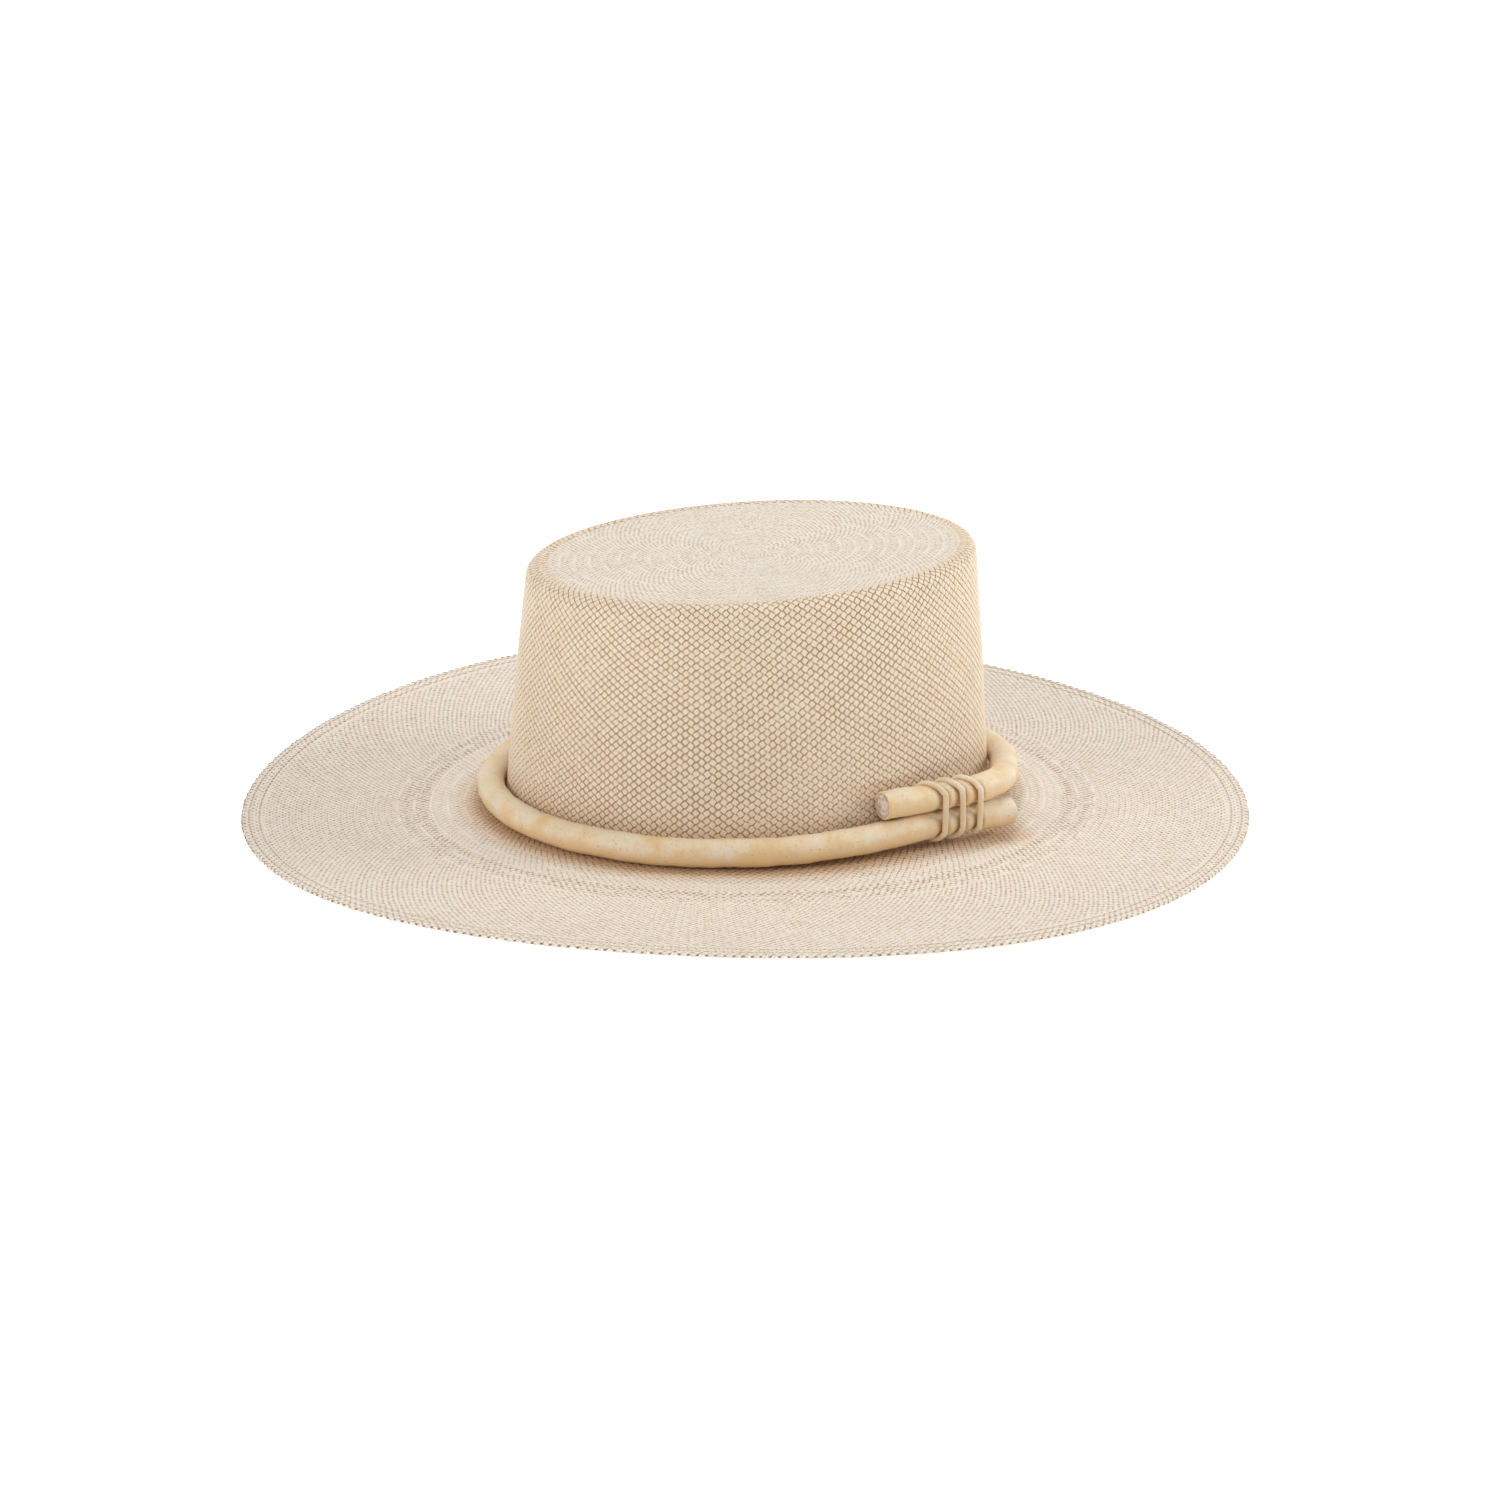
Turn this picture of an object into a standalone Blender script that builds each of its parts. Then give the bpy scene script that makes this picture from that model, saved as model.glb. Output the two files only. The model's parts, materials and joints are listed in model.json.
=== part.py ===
"""A wide-brimmed toquilla straw hat with a flat-topped oval crown and a leather-covered rope band.

Units are metres, +Z is up. The wearer faces -Y and the wearer's left side is +X.
The origin is the middle of the hat's plan, on the plane that the brim stands on.
An angle on an oval is counted from +X towards +Y, so the front of the hat is at -90 degrees.
"""

from math import cos, hypot, pi, radians, sin

import bmesh
import bpy
from mathutils import Vector

MM = 0.001

# Crown: half lengths (front to back) and half widths of its outside, at the brim and at the tip.
BASE_LONG = 101.3 * MM
BASE_WIDE = 85.5 * MM
TIP_LONG = 94.0 * MM
TIP_WIDE = 72.9 * MM
CROWN_HEIGHT = 102.8 * MM
TIP_SLOPE = 0.0326  # the tip is higher at the back
TIP_ROUNDING = 5.0 * MM
TAPER_POWER = 1.22  # above 1, the wall stands nearly upright at the brim
STRAW = 0.8 * MM  # thickness of the woven straw
BREAK_ROUNDING = 2.0 * MM  # where the crown turns into the brim

# Brim
BRIM_WIDTH = 109.4 * MM
BRIM_SIDE_EXTRA = 1.6 * MM  # wider at the sides, narrower at front and back
BRIM_DISH = 1.4 * MM  # how far the middle of the brim hangs below a straight line to its edge
EDGE_RISE = 0.6 * MM
SADDLE = 4.6 * MM  # sides up, front and back down
SADDLE_ANGLE = radians(-20.6)
WAVE = 1.4 * MM  # a slight three-way wave of the edge
WAVE_ANGLE = radians(75)

# Hem: the edge of the brim is turned under, round a wire, and sewn down in two rows.
HEM_WIDTH = 9.2 * MM
HEM_GAP = 0.3 * MM
HEM_BULGE = 0.15 * MM
HEM_MIDDLE = -(STRAW + HEM_GAP / 2)  # height of the fold's middle under the brim's face
WIRE_RADIUS = 0.5 * MM
WIRE_INSET = 1.9 * MM
CHANNEL_RADIUS = 0.85 * MM
THREAD_RADIUS = 0.25 * MM
OUTER_ROW_INSET = 3.4 * MM
INNER_ROW_INSET = 7.5 * MM

# Sweatband, inside the crown. Depths are measured inwards from the outside of the crown.
GAP = 0.3 * MM
TAPE = 0.4 * MM
REED_RADIUS = 0.7 * MM
LEATHER = 1.0 * MM
TAPE_DEPTH = STRAW + 2 * GAP
LEATHER_DEPTH = TAPE_DEPTH + TAPE + GAP
TAPE_LEG = 6.5 * MM
TAPE_LIP = 2.6 * MM
TAPE_BOTTOM = -0.5 * MM
SWEATBAND_BOTTOM = 2.4 * MM
SWEATBAND_TOP = 38.0 * MM
SWEATBAND_THREAD_HEIGHT = 5.0 * MM
BACK_SEAM = radians(90)
SEAM_HALF_GAP = radians(0.25)
BOW_HEIGHT = 15.0 * MM
BOW_HALF_WIDTH = 11.0 * MM
BOW_LOOP = 4.0 * MM
BOW_KNOT = 1.8 * MM
BOW_THICKNESS = 1.6 * MM
BOW_STANDOFF = 1.5 * MM

# Rope band: a round core in a leather sleeve, laid once round the crown with its ends one above the other.
ROPE_RADIUS = 5.6 * MM
SLEEVE = 0.9 * MM
CORE_RADIUS = 4.0 * MM
CORE_PROUD = 0.6 * MM  # how far the core looks out of each cut end
ROPE_CLEARANCE = 0.5 * MM
ROPE_HEIGHT = 6.3 * MM  # of its middle above the brim
LOWER_HEIGHT = 8.8 * MM  # where it is lashed, because it stands on the lace
UPPER_HEIGHT = LOWER_HEIGHT + 2 * ROPE_RADIUS + 0.35 * MM
ROPE_SPACING = 12.0 * MM  # between the points of its route

# Where the ends overlap they lie straight, the upper on the lower: (X, Y) of the lashing's middle.
LASHING = Vector((84.2 * MM, 52.7 * MM, 0.0))
LASHING_WAY = Vector((-0.135, 0.991, 0.0)).normalized()
LOWER_END_REACH = 28.3 * MM  # from the lashing's middle to the lower cut end
UPPER_END_REACH = 32.2 * MM

# Lace: three slanting turns round both strands.
LACE_RADIUS = 0.75 * MM
LACE_TURNS = 3
LACE_PITCH = 8.2 * MM
LACE_STEPS = 20  # points in a turn

AROUND = 60  # points round every oval

ROOT = bpy.data.collections.new("panama_hat")


def clear_scene():
    for obj in list(bpy.data.objects):
        bpy.data.objects.remove(obj, do_unlink=True)
    bpy.context.scene.collection.children.link(ROOT)


def material(name, colour, roughness, metallic=0.0):
    made = bpy.data.materials.new(name)
    made.use_nodes = True
    shader = made.node_tree.nodes["Principled BSDF"]
    shader.inputs["Base Color"].default_value = (*colour, 1.0)
    shader.inputs["Roughness"].default_value = roughness
    shader.inputs["Metallic"].default_value = metallic
    return made


def place(name, data, finish, parent=None):
    """Adds an object whose shape is already in the hat's own frame."""
    obj = bpy.data.objects.new(name, data)
    ROOT.objects.link(obj)
    data.materials.append(finish)
    obj.parent = parent
    return obj


# --- The hat's form: every piece is placed from these functions ---


def oval(angle, long_half, wide_half):
    return Vector((wide_half * cos(angle), long_half * sin(angle), 0.0))


def outward(angle):
    """Level direction square to the crown's base oval."""
    across = BASE_LONG * cos(angle)
    along = BASE_WIDE * sin(angle)
    return Vector((across, along, 0.0)) / hypot(across, along)


def brim_width(angle):
    return BRIM_WIDTH + BRIM_SIDE_EXTRA * cos(2 * angle)


def edge_height(angle):
    saddle = SADDLE * cos(2 * (angle - SADDLE_ANGLE))
    wave = WAVE * cos(3 * (angle - WAVE_ANGLE))
    return saddle + wave + EDGE_RISE


def brim_point(angle, outward_by, lift=0.0):
    """A point over the brim's upper face, outward_by from the crown."""
    share = outward_by / brim_width(angle)
    dish = 4 * BRIM_DISH * share * (share - 1)
    point = oval(angle, BASE_LONG, BASE_WIDE) + outward(angle) * outward_by
    point.z = edge_height(angle) * share + dish + lift
    return point


def edge_point(angle, inset, lift):
    return brim_point(angle, brim_width(angle) - inset, lift)


def tip_height(point, drop=0.0):
    return CROWN_HEIGHT + TIP_SLOPE * point.y - drop


def wall_point(angle, share, depth=0.0):
    """A point on the crown's wall, share of the way up, depth inwards from its outside."""
    taper = share**TAPER_POWER
    long_half = BASE_LONG + (TIP_LONG - BASE_LONG) * taper - depth
    wide_half = BASE_WIDE + (TIP_WIDE - BASE_WIDE) * taper - depth
    point = oval(angle, long_half, wide_half)
    point.z = share * tip_height(point, TIP_ROUNDING)
    return point


def wall_at_height(angle, height, depth):
    point = wall_point(angle, max(height, 0.0) / (CROWN_HEIGHT - TIP_ROUNDING), depth)
    point.z = height
    return point


def tip_edge_point(angle, turn, depth=0.0):
    """A point on the rounding between wall and tip: turn runs from 0 at the wall to pi / 2 at the tip."""
    inset = TIP_ROUNDING * (1 - cos(turn)) + depth * cos(turn)
    point = oval(angle, TIP_LONG - inset, TIP_WIDE - inset)
    point.z = tip_height(point, TIP_ROUNDING * (1 - sin(turn)) + depth * sin(turn))
    return point


def ring(point_at):
    """Points of one closed ring, from a function of the angle."""
    return [point_at(2 * pi * step / AROUND) for step in range(AROUND)]


def underside_drop():
    """How far the lowest point of the turned hem lies below the brim's line at the crown."""
    fold = HEM_MIDDLE - STRAW - HEM_GAP / 2 - HEM_BULGE
    return min(point.z for point in ring(lambda angle: edge_point(angle, WIRE_INSET, fold)))


STAND = -underside_drop()


# --- Ways of making a mesh ---


def mesh_from(name, build):
    """Runs build on a new bmesh, faces its surface outwards and lifts it to standing height."""
    shape = bmesh.new()
    build(shape)
    bmesh.ops.recalc_face_normals(shape, faces=shape.faces)
    bmesh.ops.translate(shape, verts=shape.verts, vec=(0.0, 0.0, STAND))
    mesh = bpy.data.meshes.new(name)
    shape.to_mesh(mesh)
    shape.free()
    mesh.shade_smooth()
    mesh.set_sharp_from_angle(angle=radians(40))
    return mesh


def skin(shape, rows, closed_around=True):
    """Faces between each row of points and the next."""
    made = [[shape.verts.new(point) for point in row] for row in rows]
    last = len(rows[0]) if closed_around else len(rows[0]) - 1
    for row, following in zip(made, made[1:]):
        for step in range(last):
            after = (step + 1) % len(row)
            shape.faces.new((row[step], row[after], following[after], following[step]))
    return made


def closed_section(name, section):
    """A ring of one cross-section: section is a list of functions of the angle."""
    rows = [ring(corner) for corner in section]

    def build(shape):
        made = skin(shape, rows)
        first, last = made[0], made[-1]
        for step in range(AROUND):
            after = (step + 1) % AROUND
            shape.faces.new((last[step], last[after], first[after], first[step]))

    return mesh_from(name, build)


def tube(name, points, radius, sides_level, closed=False, capped=True):
    """A round tube along points, as a straight-segment curve."""
    curve = bpy.data.curves.new(name, "CURVE")
    curve.dimensions = "3D"
    curve.twist_mode = "Z_UP"
    curve.bevel_depth = radius
    curve.bevel_resolution = sides_level
    curve.use_fill_caps = capped and not closed
    line = curve.splines.new("POLY")
    line.points.add(len(points) - 1)
    line.use_cyclic_u = closed
    line.use_smooth = True
    for spot, point in zip(line.points, points):
        spot.co = (point.x, point.y, point.z + STAND, 1.0)
    return curve


# --- Straw ---


def hem_section():
    """The fold at the brim's edge, from the upper face round the wire and back: (inset, lift) pairs."""
    top = HEM_BULGE
    bottom = 2 * HEM_MIDDLE - HEM_BULGE
    flap_face = HEM_MIDDLE - HEM_GAP / 2
    outside = [
        (5.0 * MM, 0.0),
        (2.4 * MM, top),
        (1.0 * MM, top * 0.4),
        (0.25 * MM, HEM_MIDDLE * 0.45),
        (0.0, HEM_MIDDLE),
        (0.25 * MM, HEM_MIDDLE * 1.55),
        (1.0 * MM, bottom + top * 0.6),
        (2.4 * MM, bottom),
        (5.0 * MM, flap_face - STRAW),
        (HEM_WIDTH, flap_face - STRAW),
        (HEM_WIDTH, flap_face),
        (4.0 * MM, flap_face),
    ]
    mouth = radians(160)
    steps = 6
    channel = []
    for step in range(steps + 1):
        turn = mouth * (2 * step / steps - 1)
        inset = WIRE_INSET - CHANNEL_RADIUS * cos(turn)
        channel.append((inset, HEM_MIDDLE + CHANNEL_RADIUS * sin(turn)))
    return outside + channel + [(4.0 * MM, -STRAW)]


def straw_body(finish):
    """Crown and brim are woven in one piece, and its edge is folded under."""
    rows = [
        ring(lambda angle: tip_edge_point(angle, pi / 2)),
        ring(lambda angle: tip_edge_point(angle, radians(60))),
        ring(lambda angle: tip_edge_point(angle, radians(30))),
    ]
    for share in (1.0, 0.6, 0.25, 0.06):
        rows.append(ring(lambda angle, share=share: wall_point(angle, share)))
    rows.append(ring(lambda angle: brim_point(angle, 0.4 * BREAK_ROUNDING, 0.5 * BREAK_ROUNDING)))
    rows.append(ring(lambda angle: brim_point(angle, 1.5 * BREAK_ROUNDING)))
    for share in (0.2, 0.45, 0.7):
        rows.append(ring(lambda angle, share=share: brim_point(angle, share * BRIM_WIDTH)))
    for inset, lift in hem_section():
        rows.append(ring(lambda angle, i=inset, z=lift: edge_point(angle, i, z)))
    for share in (0.7, 0.45, 0.2):
        rows.append(ring(lambda angle, share=share: brim_point(angle, share * BRIM_WIDTH, -STRAW)))
    rows.append(ring(lambda angle: brim_point(angle, BREAK_ROUNDING, -STRAW)))
    rows.append(ring(lambda angle: wall_at_height(angle, 0.6 * MM, STRAW)))
    for share in (0.06, 0.25, 0.6, 1.0):
        rows.append(ring(lambda angle, share=share: wall_point(angle, share, STRAW)))
    rows.append(ring(lambda angle: tip_edge_point(angle, radians(30), STRAW)))
    rows.append(ring(lambda angle: tip_edge_point(angle, radians(60), STRAW)))
    rows.append(ring(lambda angle: tip_edge_point(angle, pi / 2, STRAW)))

    def build(shape):
        made = skin(shape, rows)
        shape.faces.new(made[0])
        shape.faces.new(made[-1])

    return place("straw_body", mesh_from("straw_body", build), finish)


def brim_wire(finish):
    points = ring(lambda angle: edge_point(angle, WIRE_INSET, HEM_MIDDLE))
    return place("brim_wire", tube("brim_wire", points, WIRE_RADIUS, 1, closed=True), finish)


def hem_thread(name, inset, finish):
    """The thread of one sewn row, lying on the brim's upper face."""
    lift = GAP + THREAD_RADIUS
    points = ring(lambda angle: edge_point(angle, inset, lift))
    return place(name, tube(name, points, THREAD_RADIUS, 0, closed=True), finish)


# --- Sweatband ---


def arc_of_ring(point_at):
    """Points of a ring that is cut at the back seam."""
    start = BACK_SEAM + SEAM_HALF_GAP
    whole = 2 * pi - 2 * SEAM_HALF_GAP
    return [point_at(start + whole * step / AROUND) for step in range(AROUND + 1)]


def cut_strip(name, corners):
    """A strip round the inside of the crown whose two ends meet at the back seam."""
    rows = [arc_of_ring(corner) for corner in corners]

    def build(shape):
        made = skin(shape, rows, closed_around=False)
        first, last = made[0], made[-1]
        for step in range(AROUND):
            shape.faces.new((last[step], last[step + 1], first[step + 1], first[step]))
        shape.faces.new([row[0] for row in made])
        shape.faces.new([row[-1] for row in made])

    return mesh_from(name, build)


def sweatband(finish):
    inner = LEATHER_DEPTH + LEATHER
    middle = (SWEATBAND_BOTTOM + SWEATBAND_TOP) / 2
    corners = [
        lambda angle: wall_at_height(angle, SWEATBAND_BOTTOM, LEATHER_DEPTH),
        lambda angle: wall_at_height(angle, middle, LEATHER_DEPTH),
        lambda angle: wall_at_height(angle, SWEATBAND_TOP, LEATHER_DEPTH),
        lambda angle: wall_at_height(angle, SWEATBAND_TOP, inner),
        lambda angle: wall_at_height(angle, middle, inner),
        lambda angle: wall_at_height(angle, SWEATBAND_BOTTOM, inner),
    ]
    return place("sweatband", cut_strip("sweatband", corners), finish)


def reed_depth():
    return TAPE_DEPTH + TAPE + GAP + REED_RADIUS


def reed_height():
    return TAPE_BOTTOM + TAPE + GAP + REED_RADIUS


def sweatband_reed(finish):
    points = ring(lambda angle: wall_at_height(angle, reed_height(), reed_depth()))
    return place("sweatband_reed", tube("sweatband_reed", points, REED_RADIUS, 1, closed=True), finish)


def reed_tape(finish):
    """A J-shaped tape: its long leg runs up behind the leather, and its short one wraps the reed."""
    near = TAPE_DEPTH
    far = reed_depth() + REED_RADIUS + GAP + TAPE
    outline = [
        (near, TAPE_LEG),
        (near, TAPE_BOTTOM),
        (far, TAPE_BOTTOM),
        (far, TAPE_LIP),
        (far - TAPE, TAPE_LIP),
        (far - TAPE, TAPE_BOTTOM + TAPE),
        (near + TAPE, TAPE_BOTTOM + TAPE),
        (near + TAPE, TAPE_LEG),
    ]
    section = [lambda angle, d=depth, z=height: wall_at_height(angle, z, d) for depth, height in outline]
    return place("reed_tape", closed_section("reed_tape", section), finish)


def sweatband_thread(finish):
    depth = LEATHER_DEPTH + LEATHER + GAP + THREAD_RADIUS
    points = ring(lambda angle: wall_at_height(angle, SWEATBAND_THREAD_HEIGHT, depth))
    curve = tube("sweatband_thread", points, THREAD_RADIUS, 0, closed=True)
    return place("sweatband_thread", curve, finish)


def sweatband_bow(finish):
    """A small flat ribbon bow over the back seam."""
    half = [
        (0.0, BOW_KNOT),
        (BOW_HALF_WIDTH * 0.35, BOW_LOOP * 0.8),
        (BOW_HALF_WIDTH * 0.8, BOW_LOOP),
        (BOW_HALF_WIDTH, BOW_LOOP * 0.55),
        (BOW_HALF_WIDTH, -BOW_LOOP * 0.55),
        (BOW_HALF_WIDTH * 0.8, -BOW_LOOP),
        (BOW_HALF_WIDTH * 0.35, -BOW_LOOP * 0.8),
        (0.0, -BOW_KNOT),
    ]
    outline = half + [(-across, up) for across, up in reversed(half[1:-1])]
    face = wall_at_height(BACK_SEAM, BOW_HEIGHT, LEATHER_DEPTH + LEATHER)
    back = face.y - BOW_STANDOFF

    def build(shape):
        corners = [shape.verts.new((across, back, BOW_HEIGHT + up)) for across, up in outline]
        sheet = shape.faces.new(corners)
        grown = bmesh.ops.extrude_face_region(shape, geom=[sheet])["geom"]
        moved = [item for item in grown if isinstance(item, bmesh.types.BMVert)]
        bmesh.ops.translate(shape, verts=moved, vec=(0.0, -BOW_THICKNESS, 0.0))

    return place("sweatband_bow", mesh_from("sweatband_bow", build), finish)


# --- Rope band ---


def on_lashing(reach, height):
    """A point on the straight stretch, reach behind the lashing's middle."""
    point = LASHING + LASHING_WAY * reach
    point.z = height
    return point


def on_crown(degrees, height):
    """A point where the rope lies against the crown."""
    angle = radians(degrees)
    point = oval(angle, BASE_LONG, BASE_WIDE) + outward(angle) * (ROPE_RADIUS + ROPE_CLEARANCE)
    point.z = height
    return point


def rope_route():
    """Points chosen along the rope, from its lower cut end forwards round the crown to the upper one."""
    lower = [on_lashing(LOWER_END_REACH * share, LOWER_HEIGHT) for share in (1.0, 0.6, 0.0, -0.45)]
    lower += [on_crown(16, 8.5 * MM), on_crown(2, 7.7 * MM), on_crown(-14, 6.9 * MM)]
    round_crown = [on_crown(degrees, ROPE_HEIGHT) for degrees in range(-34, -240, -17)]
    rising = [on_crown(-255, 7.2 * MM), on_crown(-272, 9.0 * MM), on_crown(-287, 11.6 * MM)]
    swing_out = [
        Vector((49.4 * MM, 92.4 * MM, 15.8 * MM)),
        Vector((65.2 * MM, 84.8 * MM, 18.6 * MM)),
        Vector((75.8 * MM, 76.6 * MM, 20.2 * MM)),
    ]
    upper = [on_lashing(UPPER_END_REACH * share, UPPER_HEIGHT) for share in (0.35, 0.0, -0.35, -0.7, -1.0)]
    return lower + round_crown + rising + swing_out + upper


def between(before, start, end, after, share):
    """A point on the Catmull-Rom curve from start to end."""
    bend = 2 * before - 5 * start + 4 * end - after
    twist = 3 * start - before - 3 * end + after
    return start + 0.5 * share * (end - before + share * (bend + share * twist))


def smooth_route(route, spacing):
    """Evenly spaced points on one smooth curve through the route's points."""
    ends = [2 * route[0] - route[1]] + route + [2 * route[-1] - route[-2]]
    fine = [route[0]]
    for first in range(len(route) - 1):
        for step in range(1, 25):
            fine.append(between(*ends[first : first + 4], step / 24))
    walked = [0.0]
    for here, there in zip(fine, fine[1:]):
        walked.append(walked[-1] + (there - here).length)
    count = round(walked[-1] / spacing)
    points = []
    at = 0
    for step in range(count):
        target = walked[-1] * step / count
        while walked[at + 1] < target:
            at += 1
        share = (target - walked[at]) / (walked[at + 1] - walked[at])
        points.append(fine[at].lerp(fine[at + 1], share))
    return points + [fine[-1]]


def rope_points():
    return smooth_route(rope_route(), ROPE_SPACING)


def stretched(points, by):
    """The same points with both ends carried on by a short length."""
    first = points[0] + (points[0] - points[1]).normalized() * by
    last = points[-1] + (points[-1] - points[-2]).normalized() * by
    return [first] + points[1:-1] + [last]


def band_sleeve(finish, parent):
    curve = tube("band_sleeve", rope_points(), ROPE_RADIUS, 3, capped=False)
    obj = place("band_sleeve", curve, finish, parent)
    wall = obj.modifiers.new("leather thickness", "SOLIDIFY")
    wall.thickness = SLEEVE
    wall.offset = -1.0
    return obj


def band_core(finish, parent):
    points = stretched(rope_points(), CORE_PROUD)
    return place("band_core", tube("band_core", points, CORE_RADIUS, 2), finish, parent)


def lace_point(turns):
    """A point on the lace, a number of turns behind the lashing's middle, round both strands."""
    turn = 2 * pi * turns
    centre = on_lashing(turns * LACE_PITCH, UPPER_HEIGHT if cos(turn) > 0 else LOWER_HEIGHT)
    out = Vector((LASHING_WAY.y, -LASHING_WAY.x, 0.0))
    reach = ROPE_RADIUS + GAP + LACE_RADIUS
    return centre + out * reach * sin(turn) + Vector((0.0, 0.0, reach * cos(turn)))


def band_lace(finish, parent):
    count = LACE_TURNS * LACE_STEPS
    points = [lace_point(LACE_TURNS * (step / count - 0.5)) for step in range(count + 1)]
    return place("band_lace", tube("band_lace", points, LACE_RADIUS, 1), finish, parent)


def rope_band(leather, core, lace):
    """All that lifts off the crown together, under an empty on the lifting axis."""
    lift = bpy.data.objects.new("band_lift_axis", None)
    ROOT.objects.link(lift)
    band_sleeve(leather, lift)
    band_core(core, lift)
    band_lace(lace, lift)


def main():
    clear_scene()
    straw = material("toquilla_straw", (0.79, 0.70, 0.58), 0.62)
    thread = material("hem_thread", (0.72, 0.60, 0.45), 0.7)
    hide = material("sweatband_leather", (0.62, 0.45, 0.30), 0.5)
    ribbon = material("ribbon", (0.70, 0.58, 0.44), 0.6)
    straw_body(straw)
    brim_wire(material("spring_wire", (0.6, 0.6, 0.6), 0.35, 1.0))
    hem_thread("hem_thread_outer", OUTER_ROW_INSET, thread)
    hem_thread("hem_thread_inner", INNER_ROW_INSET, thread)
    sweatband(hide)
    sweatband_reed(material("plastic_reed", (0.80, 0.78, 0.72), 0.4))
    reed_tape(material("cotton_tape", (0.78, 0.70, 0.58), 0.8))
    sweatband_thread(thread)
    sweatband_bow(ribbon)
    rope_band(
        material("band_leather", (0.80, 0.64, 0.44), 0.42),
        material("rope_core", (0.84, 0.76, 0.68), 0.85),
        material("lace_leather", (0.82, 0.70, 0.54), 0.45),
    )


main()
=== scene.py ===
"""Looks of a wide-brimmed hat woven of toquilla straw, with a leather-covered rope band.

Metres, +Z up. The wearer faces -Y and the wearer's left is +X, where the band is lashed.
The straw is real weaving: every straw is a closed ribbon that goes over and under the ones it crosses.
"""

import json
from math import cos, hypot, pi, radians, sin

import bpy
import numpy as np
from mathutils import Matrix, Vector


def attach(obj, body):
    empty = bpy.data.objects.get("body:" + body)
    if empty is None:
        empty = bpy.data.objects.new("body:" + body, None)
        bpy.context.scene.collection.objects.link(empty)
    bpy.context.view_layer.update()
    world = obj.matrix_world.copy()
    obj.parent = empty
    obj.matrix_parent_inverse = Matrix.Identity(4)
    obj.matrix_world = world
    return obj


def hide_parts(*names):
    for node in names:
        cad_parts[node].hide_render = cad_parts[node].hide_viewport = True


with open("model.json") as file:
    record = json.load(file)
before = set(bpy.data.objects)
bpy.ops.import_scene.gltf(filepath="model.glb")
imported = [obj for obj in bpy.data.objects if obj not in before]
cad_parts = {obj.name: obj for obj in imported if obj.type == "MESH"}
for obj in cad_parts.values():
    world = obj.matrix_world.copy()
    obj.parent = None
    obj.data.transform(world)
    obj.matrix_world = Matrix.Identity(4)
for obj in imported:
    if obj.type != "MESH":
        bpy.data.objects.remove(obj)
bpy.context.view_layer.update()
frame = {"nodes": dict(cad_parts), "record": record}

MM = 0.001
CHANCE = np.random.default_rng(57)

# Crown: half lengths (front to back) and half widths of its outside, at the brim and at the tip
BASE_LONG, BASE_WIDE = 101.3 * MM, 85.5 * MM
TIP_LONG, TIP_WIDE = 94.0 * MM, 72.9 * MM
CROWN_HEIGHT = 102.8 * MM
TIP_SLOPE = 0.0326
TIP_ROUNDING = 5.0 * MM
TIP_DISH = 0.9 * MM
TAPER_POWER = 1.22
STRAW = 0.8 * MM
BREAK_OUT = 3.0 * MM
BREAK_UP = 3.4 * MM
BREAK_LENGTH = 5.0 * MM

# Brim and its turned hem
BRIM_WIDTH = 109.4 * MM
BRIM_SIDE_EXTRA = 1.6 * MM
BRIM_DISH = 1.4 * MM
EDGE_RISE = 0.6 * MM
SADDLE, SADDLE_ANGLE = 4.6 * MM, radians(-20.6)
WAVE, WAVE_ANGLE = 1.4 * MM, radians(75)
HEM_WIDTH = 9.2 * MM
HEM_START = 5.0 * MM
HEM_MIDDLE = -0.95 * MM
OUTER_ROW, INNER_ROW = 3.4 * MM, 7.5 * MM
HALF_STITCH = 1.5 * MM

# Rope band
ROPE_RADIUS = 5.6 * MM
SLEEVE = 0.9 * MM
ROPE_CLEARANCE = 0.5 * MM
ROPE_HEIGHT = 6.3 * MM
LOWER_HEIGHT = 8.8 * MM
UPPER_HEIGHT = LOWER_HEIGHT + 2 * ROPE_RADIUS + 0.35 * MM
LASHING = Vector((84.2 * MM, 52.7 * MM, 0.0))
LASHING_WAY = Vector((-0.135, 0.991, 0.0)).normalized()
LOWER_END_REACH = 28.3 * MM
UPPER_END_REACH = 32.2 * MM
LACE_RADIUS = 1.2 * MM
LACE_PITCH = 8.2 * MM

# Height of the brim's face at the crown above the standing plane
tip_mount = next(m for m in frame["record"]["mounts"] if m["name"] == "crown_tip")
STAND = tip_mount["pos_m"][2] - CROWN_HEIGHT


# --- The hat's form ---


def oval(angle, long_half, wide_half):
    """Points of a level oval; angle is counted from the wearer's left towards the back."""
    return np.stack([wide_half * np.cos(angle), long_half * np.sin(angle), 0 * angle], -1)


def outward(angle):
    across, along = BASE_LONG * np.cos(angle), BASE_WIDE * np.sin(angle)
    return np.stack([across, along, 0 * angle], -1) / np.hypot(across, along)[..., None]


def brim_width(angle):
    return BRIM_WIDTH + BRIM_SIDE_EXTRA * np.cos(2 * angle)


def brim_point(angle, outward_by, lift):
    share = outward_by / brim_width(angle)
    edge = SADDLE * np.cos(2 * (angle - SADDLE_ANGLE)) + WAVE * np.cos(3 * (angle - WAVE_ANGLE)) + EDGE_RISE
    point = oval(angle, BASE_LONG, BASE_WIDE) + outward(angle) * outward_by[..., None]
    point[..., 2] = edge * share + 4 * BRIM_DISH * share * (share - 1) + lift
    return point


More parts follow.
